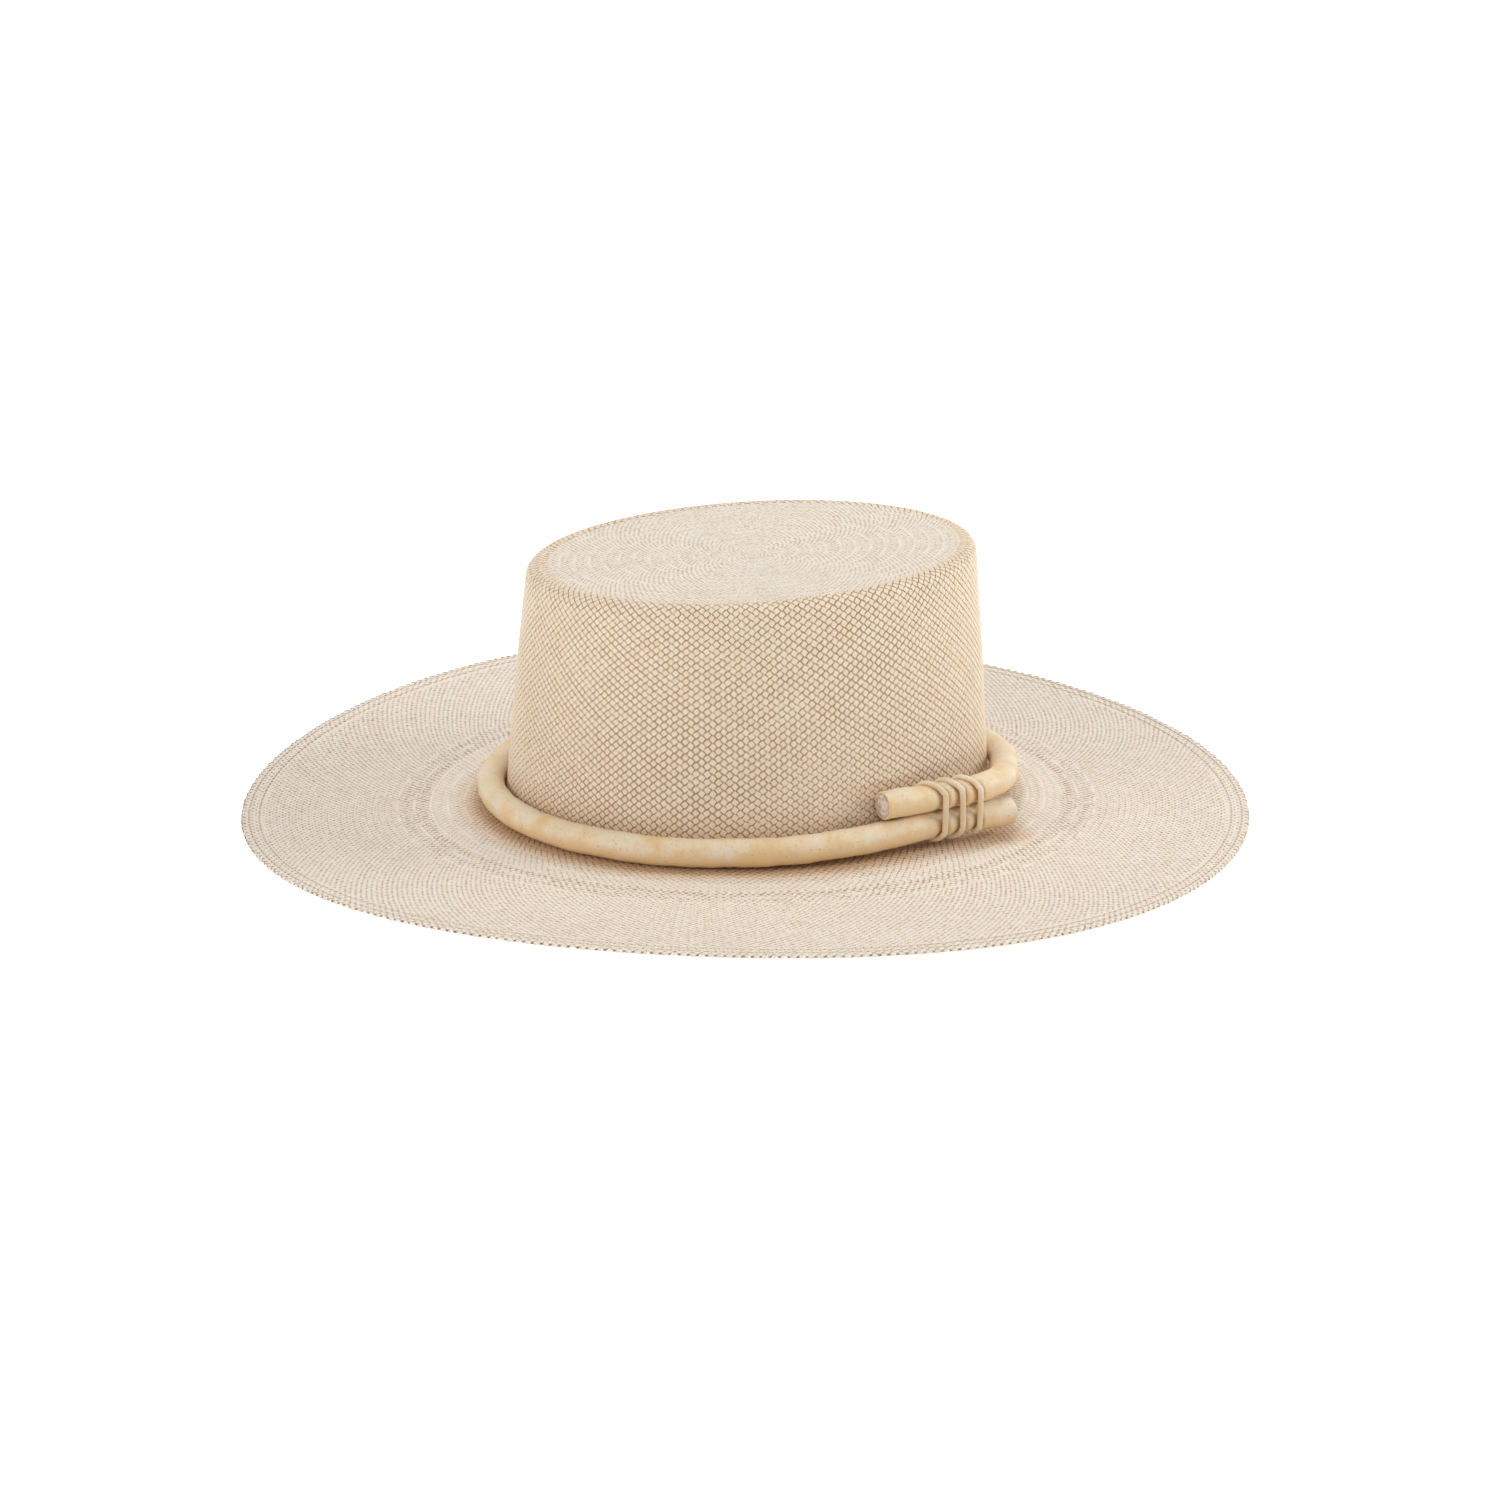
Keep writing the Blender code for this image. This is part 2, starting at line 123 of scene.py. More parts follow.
def wall_point(angle, share, depth):
    taper = share**TAPER_POWER
    long_half = BASE_LONG + (TIP_LONG - BASE_LONG) * taper - depth
    wide_half = BASE_WIDE + (TIP_WIDE - BASE_WIDE) * taper - depth
    point = oval(angle, long_half, wide_half)
    point[..., 2] = share * (CROWN_HEIGHT + TIP_SLOPE * point[..., 1] - TIP_ROUNDING)
    return point


def rounding_point(angle, turn, depth):
    inset = TIP_ROUNDING * (1 - np.cos(turn)) + depth * np.cos(turn)
    point = oval(angle, TIP_LONG - inset, TIP_WIDE - inset)
    drop = TIP_ROUNDING * (1 - np.sin(turn)) + depth * np.sin(turn)
    point[..., 2] = CROWN_HEIGHT + TIP_SLOPE * point[..., 1] - drop
    return point


def tip_point(angle, share, depth):
    point = oval(angle, (TIP_LONG - TIP_ROUNDING) * share, (TIP_WIDE - TIP_ROUNDING) * share)
    dish = TIP_DISH * (1 - share**2) ** 2
    point[..., 2] = CROWN_HEIGHT + TIP_SLOPE * point[..., 1] - depth - dish
    return point


# The sheet of straw is measured along one line: from the tip's middle out, down the wall, out over the
# brim and round the hem. These are the distances at which one part of the form gives way to the next.
SHEET_DEPTH = STRAW / 2
TIP_END = (TIP_LONG + TIP_WIDE) / 2 - TIP_ROUNDING
ROUNDING_END = TIP_END + TIP_ROUNDING * pi / 2
WALL_END = ROUNDING_END + CROWN_HEIGHT - TIP_ROUNDING - BREAK_UP
BREAK_END = WALL_END + BREAK_LENGTH
BRIM_END = BREAK_END + BRIM_WIDTH - BREAK_OUT - HEM_START
BREAK_SHARE = BREAK_UP / (CROWN_HEIGHT - TIP_ROUNDING)

# The hem's path: inset from the edge, and height over the brim's face
HEM_PATH = np.array([
    (HEM_START, -0.40 * MM), (3.6 * MM, -0.34 * MM), (2.4 * MM, -0.28 * MM), (1.4 * MM, -0.34 * MM),
    (0.75 * MM, -0.58 * MM), (0.5 * MM, HEM_MIDDLE), (0.75 * MM, -1.32 * MM), (1.4 * MM, -1.56 * MM),
    (2.4 * MM, -1.64 * MM), (3.6 * MM, -1.58 * MM), (5.0 * MM, -1.5 * MM), (HEM_WIDTH, -1.5 * MM),
])
HEM_WALKED = np.concatenate([[0.0], np.cumsum(np.hypot(*np.diff(HEM_PATH, axis=0).T))])
HEM_END = BRIM_END + HEM_WALKED[-1]


def break_point(angle, share):
    """From the wall to the brim in one round turn."""
    start = wall_point(angle, np.full_like(angle, BREAK_SHARE), SHEET_DEPTH)
    corner = oval(angle, BASE_LONG, BASE_WIDE)
    corner[..., 2] -= SHEET_DEPTH
    corner -= outward(angle) * SHEET_DEPTH
    end = brim_point(angle, np.full_like(angle, BREAK_OUT), -SHEET_DEPTH)
    share = share[..., None]
    return start * (1 - share) ** 2 + corner * 2 * share * (1 - share) + end * share**2


def hem_point(angle, walked):
    inset = np.interp(walked, HEM_WALKED, HEM_PATH[:, 0])
    lift = np.interp(walked, HEM_WALKED, HEM_PATH[:, 1])
    return brim_point(angle, brim_width(angle) - inset, lift)


def sheet_point(angle, along):
    """The middle of the straw sheet, along metres from the tip's middle."""
    angle, along = np.broadcast_arrays(angle, along)
    point = np.zeros(angle.shape + (3,))
    parts = [
        (0.0, TIP_END, lambda a, s: tip_point(a, s, SHEET_DEPTH)),
        (TIP_END, ROUNDING_END, lambda a, s: rounding_point(a, (1 - s) * pi / 2, SHEET_DEPTH)),
        (ROUNDING_END, WALL_END, lambda a, s: wall_point(a, 1 - s * (1 - BREAK_SHARE), SHEET_DEPTH)),
        (WALL_END, BREAK_END, break_point),
        (BREAK_END, BRIM_END, lambda a, s: brim_point(
            a, BREAK_OUT + s * (brim_width(a) - HEM_START - BREAK_OUT), -SHEET_DEPTH)),
        (BRIM_END, HEM_END, lambda a, s: hem_point(a, s * HEM_WALKED[-1])),
    ]
    for start, end, part in parts:
        inside = (along >= start) & (along < end) if end < HEM_END else along >= start
        share = (along[inside] - start) / (end - start)
        point[inside] = part(angle[inside], share)
    point[..., 2] += STAND
    return point


# --- Making meshes ---


def add_mesh(name, points, quads, caps):
    """A mesh object from arrays of points, four-sided faces and many-sided end faces."""
    mesh = bpy.data.meshes.new(name)
    corners = [quads.ravel()]
    sizes = [np.full(len(quads), 4)]
    for ends in caps:
        corners.append(ends.ravel())
        sizes.append(np.full(len(ends), ends.shape[1]))
    corners, sizes = np.concatenate(corners), np.concatenate(sizes)
    mesh.vertices.add(len(points))
    mesh.vertices.foreach_set("co", points.astype(np.float32).ravel())
    mesh.loops.add(len(corners))
    mesh.loops.foreach_set("vertex_index", corners.astype(np.int32))
    mesh.polygons.add(len(sizes))
    mesh.polygons.foreach_set("loop_start", (np.cumsum(sizes) - sizes).astype(np.int32))
    mesh.update(calc_edges=True)
    mesh.shade_smooth()
    obj = bpy.data.objects.new(name, mesh)
    bpy.context.scene.collection.objects.link(obj)
    return obj


def mark(obj, title, values):
    """Stores one number at each of a mesh's points, for its finish to read."""
    attribute = obj.data.attributes.new(title, "FLOAT", "POINT")
    attribute.data.foreach_set("value", np.asarray(values, np.float32))


def finish_piece(obj, material, body, slot, *nodes):
    """Gives a piece its material and the body it rides on, and hides the nodes it stands for. slot is not used.
    """
    obj.data.materials.clear()
    obj.data.materials.append(material)
    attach(obj, body)
    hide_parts(*nodes)
    return obj


# --- Weaving ---

# Cross-sections of a straw, in halves of its width and of its thickness: broad leaf on the crown and on
# the brim beside it, finer straw elsewhere
CROWN_SECTION = np.array([(1.0, -0.3), (0.74, 0.9), (-0.74, 0.9), (-1.0, -0.3), (0.0, -0.9)])
LEAF_SECTION = np.array([(1.0, -0.3), (0.78, 0.9), (-0.78, 0.9), (-1.0, -0.3), (-0.7, -0.9), (0.7, -0.9)])
FINE_SECTION = np.array([(1.0, 0.0), (0.0, 0.6), (-1.0, 0.0), (0.0, -0.6)])
STRAW_HALF_THICKNESS = 0.2 * MM
LEAF_RELIEF, FINE_RELIEF = 0.22 * MM, 0.1 * MM
STEPS = 2  # stations on each straw from one crossing to the next
CROWN_STEPS = (0.3, 0.5, 0.7)  # on the crown each straw lies flat at a crossing and dips between two
FLATNESS = 1.7  # makes a straw's wave flat as far as the first of those
TUCK = 0.75  # how far past its last crossing, in crossings, a straw's end goes
LEAF_TUCK, FINE_TUCK = 0.3 * MM, 0.14 * MM  # and how deep
STRAY = 0.022  # of a crossing, by which a straw strays from its even place
LONG_RUN = 20  # crossings, above which a run of weaving bows a little
SLOPE_STEP = 0.05 * MM

# Painted shade beside the band, warm and dark as the rope's shadow falls on the straw: how far from the rope's
# middle it ends, how broadly it fades, and how much of it the crown's wall takes
BAND_SHADE_REACH, BAND_SHADE_FADE, BAND_SHADE_ON_WALL = 17.5 * MM, 9 * MM, 0.3


def straws(start, end, count, rows, lean, fill, members,
           section=FINE_SECTION, turned=0.0, marked=0.71):
    """Stations round each straw of one family. Returns points [straw, station, corner, xyz], how far each
    station is along its straw, and two numbers for each point: how much painted shade it takes in the grooves,
    and on the outside or not.

    count straws spiral side by side between two distances on the sheet, and cross the other family rows times.
    lean is +1 or -1. marked is how strongly the painted shade in the grooves shows. Each end is tucked under
    the row of straws that follows it.
    """
    leaf = section is not FINE_SECTION
    turns = np.arange(0, rows * STEPS + 1) / STEPS
    if section is CROWN_SECTION:
        turns = np.concatenate([[0], (np.arange(rows)[:, None] + CROWN_STEPS).ravel(), [rows]])
    turns = np.concatenate([[-TUCK], turns, [rows + TUCK]])
    wave = np.clip(FLATNESS * np.cos(pi * turns), -1, 1)
    pitch = 2 * pi / count
    row_length = (end - start) / rows
    angle = pitch * (members[:, None] + lean * turns / 2) + turned
    # Both families drift together, as a weaver's hand lets them
    drift = 0.008 * np.sin(3 * angle + turns * 0.045) + 0.005 * np.sin(7 * angle - turns * 0.06)
    bow = 0.9 * np.sin(4 * angle + 1.0) * np.sin(pi * turns / rows) ** 2
    along = start + row_length * (turns + bow * (rows > LONG_RUN))
    angle = angle + drift + CHANCE.normal(0, STRAY, angle.shape) * pitch
    along = along + CHANCE.normal(0, STRAY, angle.shape) * row_length
    along = np.clip(along, 0.2 * MM, HEM_END - 0.01 * MM)
    step = SLOPE_STEP
    centre = sheet_point(angle, along)
    around = (sheet_point(angle + step, along) - sheet_point(angle - step, along)) / (2 * step) * pitch
    down = (sheet_point(angle, along + step) - sheet_point(angle, along - step)) / (2 * step) * row_length
    way = around * lean / 2 + down
    normal = np.cross(down, around)
    normal /= np.linalg.norm(normal, axis=-1, keepdims=True)
    length = np.linalg.norm(way, axis=-1, keepdims=True)
    across = np.cross(normal, way / length)
    spacing = np.linalg.norm(np.cross(around, way), axis=-1, keepdims=True) / length
    half_width = spacing / 2 * fill * CHANCE.normal(1.0, 0.035, (len(members), 1, 1))
    height = lean * (LEAF_RELIEF if leaf else FINE_RELIEF) * wave
    height[[0, -1]] = -LEAF_TUCK if leaf else -FINE_TUCK
    centre = centre + normal * height[None, :, None]
    ribs = centre[:, :, None] + across[:, :, None] * (half_width[..., None] * section[:, 0, None])
    ribs = ribs + normal[:, :, None] * (STRAW_HALF_THICKNESS * section[:, 1, None])
    # Painted shade in the grooves: high where a straw's edge shows or it goes under another
    going_under = 1 - np.abs(wave)[:, None]
    going_under[[0, -1]] = 1.0
    edge = (np.abs(section[:, 0]) > 0.9)[None]
    seam = np.maximum(edge, going_under) * marked + edge * going_under * (1 - marked)
    seam = seam * CHANCE.normal(1.0, 0.05 if leaf else 0.13, ribs.shape[:3])
    outside = np.broadcast_to(section[:, 1] > -0.5, seam.shape)
    return ribs, turns * row_length, np.stack([seam, outside], -1)


def woven_piece(name, bundles):
    """One piece from bundles of straws, with a map along and across each straw and a tone for each straw."""
    points, quads, caps, tones, groove_shades, maps, cap_maps = [], [], [], [], [], [], []
    base = 0
    for ribs, walked, seam in bundles:
        count, stations, corners = ribs.shape[:3]
        groove_shades.append(seam.reshape(-1, 2))
        index = base + np.arange(count * stations * corners).reshape(count, stations, corners)
        following = np.roll(index, -1, axis=2)
        faces = np.stack([index[:, :-1], following[:, :-1], following[:, 1:], index[:, 1:]], -1)
        points.append(ribs.reshape(-1, 3))
        quads.append(faces.reshape(-1, 4))
        caps += [index[:, 0, ::-1], index[:, -1]]
        tones.append(np.repeat(CHANCE.random((count, 2)), stations * corners, axis=0))
        shift = CHANCE.random(count) * 0.5
        along = (shift[:, None] + walked[None]) * np.ones((count, 1))
        first = np.broadcast_to(np.arange(corners) / corners, (count, stations - 1, corners))
        second = first + 1 / corners
        here = np.broadcast_to(along[:, :-1, None], first.shape)
        there = np.broadcast_to(along[:, 1:, None], first.shape)
        round_face = [np.stack(corner, -1) for corner in
                      ((here, first), (here, second), (there, second), (there, first))]
        maps.append(np.stack(round_face, 3).reshape(-1, 2))
        cap_maps.append(np.zeros((2 * count * corners, 2)))
        base += count * stations * corners
    obj = add_mesh(name, np.concatenate(points), np.concatenate(quads), caps)
    obj.data.set_sharp_from_angle(angle=radians(30))
    tone = np.concatenate(tones)
    mark(obj, "tone", tone[:, 0])
    mark(obj, "warmth", tone[:, 1])
    seam, outside = np.concatenate(groove_shades).T
    # Painted shade in the grooves between straws
    mark(obj, "seam", seam)
    # Painted shade beside the band, on the straws' outer faces only
    mark(obj, "near_band", near_band(np.concatenate(points)) * outside)
    layer = obj.data.uv_layers.new(name="along_straw")
    layer.uv.foreach_set("vector", np.concatenate(maps + cap_maps).astype(np.float32).ravel())
    # Painted light: the crown's straws get a warmer, darker tint, as bounce light from the brim would give
    # them, and the tip's and brim's a lighter, cooler one
    if name.startswith("crown"):
        return finish_piece(obj, straw("crown_straw", (1.0, 0.945, 0.87)), "hat", "straw", "straw_body")
    return finish_piece(obj, straw("fine_straw", (1.02, 1.04, 1.07)), "hat", "straw", "straw_body")


def gap_to(line, points):
    """How far each point is from the nearest of a line's points."""
    gap = np.full(len(points), 1.0)
    for place in line:
        gap = np.minimum(gap, np.linalg.norm(points - place, axis=1))
    return gap


def near_band(points):
    """How far each point lies in the painted shade beside the band, from 0 to 1."""
    rope = np.array(smooth_route(rope_route(), 6 * MM)) + (0.0, 0.0, STAND)
    shade = np.zeros(len(points))
    low = np.flatnonzero((points[:, 2] > STAND - 4 * MM) & (points[:, 2] < STAND + 28 * MM))
    low = low[np.hypot(points[low, 0] / BASE_WIDE, points[low, 1] / BASE_LONG) < 1.45]
    on_brim = points[low, 2] < STAND + 1.5 * MM
    near = np.clip((BAND_SHADE_REACH - gap_to(rope, points[low])) / BAND_SHADE_FADE, 0, 1)
    shade[low] = near * np.where(on_brim, 1.0, BAND_SHADE_ON_WALL)
    return shade


def both_ways(start, end, count, rows, fill, section=FINE_SECTION, marked=0.71):
    """Both families of straws of one whole ring, begun at a chance place round it."""
    turned = CHANCE.uniform(0, 2 * pi)
    every = np.arange(count)
    return [straws(start, end, count, rows, lean, fill, every, section, turned, marked) for lean in (1, -1)]


def weave_tip():
    """Rings of weaving from the middle of the tip: each ring takes more straws than the last."""
    rings = 14
    ring = 5.45 * MM
    bundles = []
    for step in range(rings):
        start, end = step * ring, (step + 1) * ring
        count = max(12, round(2 * pi * (end - ring * 0.3) / (2.6 * MM)))
        bundles.append(both_ways(max(start, 0.4 * MM), end, count, 5, 1.0))
    woven_piece("tip_rings_inner", sum(bundles[:10], []))
    woven_piece("tip_rings_outer", sum(bundles[10:], []))
    return rings * ring


def weave_crown(start):
    """The crown's straws run unbroken from the tip's last ring over the rounding and down to the brim."""
    count = 144
    rows = round((BREAK_END - start) / (1.55 * MM))
    for lean, way in ((1, "leaning_left"), (-1, "leaning_right")):
        for half in range(2):
            members = np.arange(count // 2) + half * count // 2
            bundle = straws(start, BREAK_END, count, rows, lean, 1.0, members, CROWN_SECTION, 0.0, 1.3)
            woven_piece(f"crown_straws_{way}_{half + 1}", [bundle])


def weave_brim():
    """Rings with more and more straws, then one broad ring out to the hem, and the hem itself."""
    ring = 7.0 * MM
    at = BREAK_END
    bundles = []
    for step in range(6):
        section = LEAF_SECTION if step < 4 else FINE_SECTION
        bundles.append(both_ways(at, at + ring, 180 + 24 * step, 4, 0.97, section, 1 - 0.045 * step))
        at += ring
    woven_piece("brim_rings_inner", sum(bundles[:3], []))
    woven_piece("brim_rings_outer", sum(bundles[3:], []))
    count = 360
    hem_top = BRIM_END + HEM_START - HEM_WIDTH
    rows = round((hem_top - at) / (1.3 * MM))
    for lean, way in ((1, "leaning_left"), (-1, "leaning_right")):
        for half in range(2):
            members = np.arange(count // 2) + half * count // 2
            bundle = straws(at, hem_top, count, rows, lean, 0.98, members)
            woven_piece(f"brim_straws_{way}_{half + 1}", [bundle])
    rows = round((HEM_END - hem_top) / (1.5 * MM))
    woven_piece("hem_fold", both_ways(hem_top, HEM_END, 360, rows, 0.96, FINE_SECTION, 0.6))


# --- Sewing ---


def stitch_points(line, length):
    """Even stitches along a closed line of points. Returns the middle and the way of each."""
    step = np.roll(line, -1, axis=0) - line
    walked = np.concatenate([[0.0], np.cumsum(np.linalg.norm(step, axis=1))])
    count = round(walked[-1] / length)
    closed = np.concatenate([line, line[:1]])
    places = (np.arange(count) + 0.5) * walked[-1] / count
    middle = np.stack([np.interp(places, walked, closed[:, axis]) for axis in range(3)], 1)
    way = np.roll(middle, -1, axis=0) - np.roll(middle, 1, axis=0)
    return middle, way / np.linalg.norm(way, axis=1, keepdims=True)


def bead_mesh(segments, rings):
    """Points and faces of a small round bead of radius 1."""
    bpy.ops.object.select_all(action="DESELECT")
    bpy.ops.mesh.primitive_uv_sphere_add(segments=segments, ring_count=rings, radius=1.0)
    ball = bpy.context.view_layer.objects.active
    points = np.array([vertex.co for vertex in ball.data.vertices])
    faces = [tuple(face.vertices) for face in ball.data.polygons]
    bpy.data.objects.remove(ball)
    return points, faces


def beads(name, middles, ways, faces_up, sizes, material, slot, *nodes):
    """Many beads made one piece, each drawn out along its way and flattened towards its face."""
    ball, faces = bead_mesh(6, 4)
    across = np.cross(faces_up, ways)
    points = (middles[:, None] + ways[:, None] * ball[None, :, :1] * sizes[0]
              + across[:, None] * ball[None, :, 1:2] * sizes[1]
              + faces_up[:, None] * ball[None, :, 2:] * sizes[2])
    mesh = bpy.data.meshes.new(name)
    firsts = range(0, len(ball) * len(middles), len(ball))
    many = [tuple(corner + first for corner in face) for first in firsts for face in faces]
    mesh.from_pydata(points.reshape(-1, 3), [], many)
    mesh.shade_smooth()
    obj = bpy.data.objects.new(name, mesh)
    bpy.context.scene.collection.objects.link(obj)
    turned_out(obj)
    return finish_piece(obj, material, "hat", slot, *nodes)


def turned_out(obj):
    select_only(obj)
    bpy.ops.object.mode_set(mode="EDIT")
    bpy.ops.mesh.select_all(action="SELECT")
    bpy.ops.mesh.normals_make_consistent(inside=False)
    bpy.ops.object.mode_set(mode="OBJECT")


def hem_row(inset, lift):
    angle = np.linspace(0, 2 * pi, 720, endpoint=False)
    line = brim_point(angle, brim_width(angle) - inset, np.full_like(angle, lift))
    line[:, 2] += STAND
    return line


def sew_hem(thread, hole):
    """Two rows of stitches through the folded edge, each stitch between two needle holes drawn as dark discs of
    painted shadow.
    """
    for inset, name in ((OUTER_ROW, "outer"), (INNER_ROW, "inner")):
        middle, way = stitch_points(hem_row(inset, 0.02 * MM), 2 * HALF_STITCH)
        up = np.tile((0.0, 0.0, 1.0), (len(middle), 1))
        beads(f"hem_stitches_{name}", middle, way, up, (1.1 * MM, 0.2 * MM, 0.14 * MM), thread, "thread",
              f"hem_thread_{name}")
        # Dark flat discs at the stitch ends: painted shadow standing for the needle holes
        ends = middle + way * HALF_STITCH
        ends[:, 2] -= 0.04 * MM
        beads(f"hem_needle_holes_{name}", ends, way, up, (0.34 * MM, 0.34 * MM, 0.1 * MM), hole, "thread",
              f"hem_thread_{name}")


# --- Materials ---


def shader(name, roughness, specular=0.5):
    """A new material, its node tree and its Principled shader."""
    material = bpy.data.materials.new(name)
    material.use_nodes = True
    tree = material.node_tree
    surface = tree.nodes["Principled BSDF"]
    surface.inputs["Roughness"].default_value = roughness
    surface.inputs["Specular IOR Level"].default_value = specular
    return material, tree, surface


def node(tree, kind, **settings):
    made = tree.nodes.new(kind)
    for key, value in settings.items():
        if key in made.inputs:
            made.inputs[key].default_value = value
        else:
            setattr(made, key, value)
    return made


def attribute(tree, title):
    return node(tree, "ShaderNodeAttribute", attribute_name=title).outputs["Fac"]


def ramp(tree, source, stops):
    made = tree.nodes.new("ShaderNodeValToRGB")
    elements = made.color_ramp.elements
    while len(elements) < len(stops):
        elements.new(0.5)
    for element, (place, colour) in zip(elements, stops):
        element.position = place
        element.color = (*colour, 1.0)
    tree.links.new(source, made.inputs["Fac"])
    return made.outputs["Color"]


def mix(tree, factor, first, second, blend="MIX"):
    made = node(tree, "ShaderNodeMix", data_type="RGBA", blend_type=blend)
    for value, socket in ((factor, made.inputs[0]), (first, made.inputs[6]), (second, made.inputs[7])):
        if isinstance(value, bpy.types.NodeSocket):
            tree.links.new(value, socket)
        elif isinstance(value, tuple):
            socket.default_value = (*value, 1.0)
        else:
            socket.default_value = value
    return made.outputs[2]


def stain_and_shade(tree, ground, source, low, high, most, colour):
    """Lays a colour over the ground as source rises from low to high, and at most so strongly."""
    amount = ramp(tree, source, [(low, (0.0,) * 3), (high, (most,) * 3)])
    return mix(tree, amount, ground, colour)


def bump(tree, surface, height, strength, distance):
    made = node(tree, "ShaderNodeBump", Strength=strength, Distance=distance)
    tree.links.new(height, made.inputs["Height"])
    tree.links.new(made.outputs["Normal"], surface.inputs["Normal"])


def noise(tree, vector, scale, detail=3.0, roughness=0.5):
    made = node(tree, "ShaderNodeTexNoise", Scale=scale, Detail=detail, Roughness=roughness)
    tree.links.new(vector, made.inputs["Vector"])
    return made.outputs["Fac"]


def object_place(tree, scale=(1.0, 1.0, 1.0)):
    made = node(tree, "ShaderNodeMapping")
    made.inputs["Scale"].default_value = scale
    tree.links.new(tree.nodes.new("ShaderNodeTexCoord").outputs["Object"], made.inputs["Vector"])
    return made.outputs["Vector"]


STRAW_FINISHES = {}


def straw(name, painted_light_tint):
    """Bleached straw: each straw its own cream, pinkish or yellowish, fine grain along it, painted shade at its
    edges and in its grooves, painted shade beside the band, and a tint of painted light.
    """
    if name in STRAW_FINISHES:
        return STRAW_FINISHES[name]
    material, tree, surface = shader(name, 0.55, 0.35)
    cream = ramp(tree, attribute(tree, "tone"), [
        (0.0, (0.80, 0.73, 0.63)), (0.5, (0.84, 0.79, 0.71)), (1.0, (0.87, 0.83, 0.76))])
    pink = ramp(tree, attribute(tree, "warmth"), [
        (0.0, (0.84, 0.81, 0.71)), (0.55, (0.85, 0.79, 0.71)), (1.0, (0.86, 0.74, 0.65))])
    colour = mix(tree, 0.5, cream, pink)
    patches = noise(tree, object_place(tree), 160.0, 2.0)
    colour = stain_and_shade(tree, colour, patches, 0.4, 0.75, 0.45, (0.83, 0.72, 0.59))
    straw_map = node(tree, "ShaderNodeUVMap", uv_map="along_straw").outputs["UV"]
    grain_place = node(tree, "ShaderNodeMapping")
    grain_place.inputs["Scale"].default_value = (260.0, 40.0, 1.0)
    tree.links.new(straw_map, grain_place.inputs["Vector"])
    grain = noise(tree, grain_place.outputs["Vector"], 1.0, 3.0, 0.6)
    colour = stain_and_shade(tree, colour, grain, 0.35, 0.8, 0.35, (0.76, 0.64, 0.50))
    # Painted shade in the grooves: dark brown where a straw's edge shows or it dives under another
    colour = stain_and_shade(tree, colour, attribute(tree, "seam"), 0.64, 1.0, 0.92, (0.33, 0.19, 0.085))
    # Painted shade beside the band: the straw there is darkened and warmed as the rope's shadow would
    colour = mix(tree, attribute(tree, "near_band"), colour, (0.84, 0.66, 0.50), "MULTIPLY")
    # Painted light: a tint that makes the crown's wall warmer and darker and the tip and brim lighter and
    # cooler
    colour = mix(tree, 1.0, colour, painted_light_tint, "MULTIPLY")
    tree.links.new(colour, surface.inputs["Base Color"])
    bump(tree, surface, grain, 0.35, 0.00006)
    STRAW_FINISHES[name] = material
    return material


def leather(name, pale, honey, deep, scale=1.0):
    """Hide: cream with honey stains, painted shade making it darker below, with small specks, fine pores and a
    soft gloss, and painted shade beside the lace where marked.
    """
    material, tree, surface = shader(name, 0.45, 0.4)
    place = object_place(tree)
    broad = noise(tree, place, 70.0 * scale, 4.0, 0.6)
    fine = noise(tree, place, 420.0 * scale, 5.0, 0.65)
    colour = ramp(tree, broad, [(0.40, pale), (0.54, honey), (0.66, deep)])
    colour = stain_and_shade(tree, colour, fine, 0.45, 0.72, 0.5, deep)
    # Honey mottle together with painted warm shade on the side facing down
    mottle_and_under_shade = node(tree, "ShaderNodeMath", operation="MULTIPLY_ADD")
    tree.links.new(broad, mottle_and_under_shade.inputs[0])
    mottle_and_under_shade.inputs[1].default_value = 0.9
    tree.links.new(attribute(tree, "underside"), mottle_and_under_shade.inputs[2])
    colour = stain_and_shade(tree, colour, mottle_and_under_shade.outputs[0], 0.72, 1.0, 0.8, deep)
    specks = noise(tree, place, 900.0 * scale, 2.0, 0.5)
    colour = stain_and_shade(tree, colour, specks, 0.64, 0.72, 0.55, (0.50, 0.33, 0.19))
    # Painted shade beside the lace: the leather next to it is darkened as the crevices' shade would
    colour = mix(tree, attribute(tree, "pressed"), colour, (0.62, 0.45, 0.30), "MULTIPLY")
    tree.links.new(colour, surface.inputs["Base Color"])
    pores = node(tree, "ShaderNodeTexVoronoi", Scale=1500.0 * scale)
    tree.links.new(place, pores.inputs["Vector"])
    height = mix(tree, 0.65, pores.outputs["Distance"], fine)
    bump(tree, surface, height, 0.35, 0.0003)
    return material


def pressed_fibre(name):
    """The rope's cut heart: pale fibre ends with darker flecks and pits."""
    material, tree, surface = shader(name, 0.95, 0.1)
    place = object_place(tree)
    coarse = noise(tree, place, 520.0, 4.0, 0.7)
    fine = noise(tree, place, 1900.0, 3.0, 0.7)
    colour = ramp(tree, coarse, [
        (0.36, (0.46, 0.32, 0.25)), (0.47, (0.78, 0.66, 0.60)), (0.60, (0.88, 0.81, 0.77))])
    colour = stain_and_shade(tree, colour, fine, 0.5, 0.7, 0.6, (0.62, 0.46, 0.38))
    tree.links.new(colour, surface.inputs["Base Color"])
    bump(tree, surface, coarse, 0.8, 0.0006)
    return material


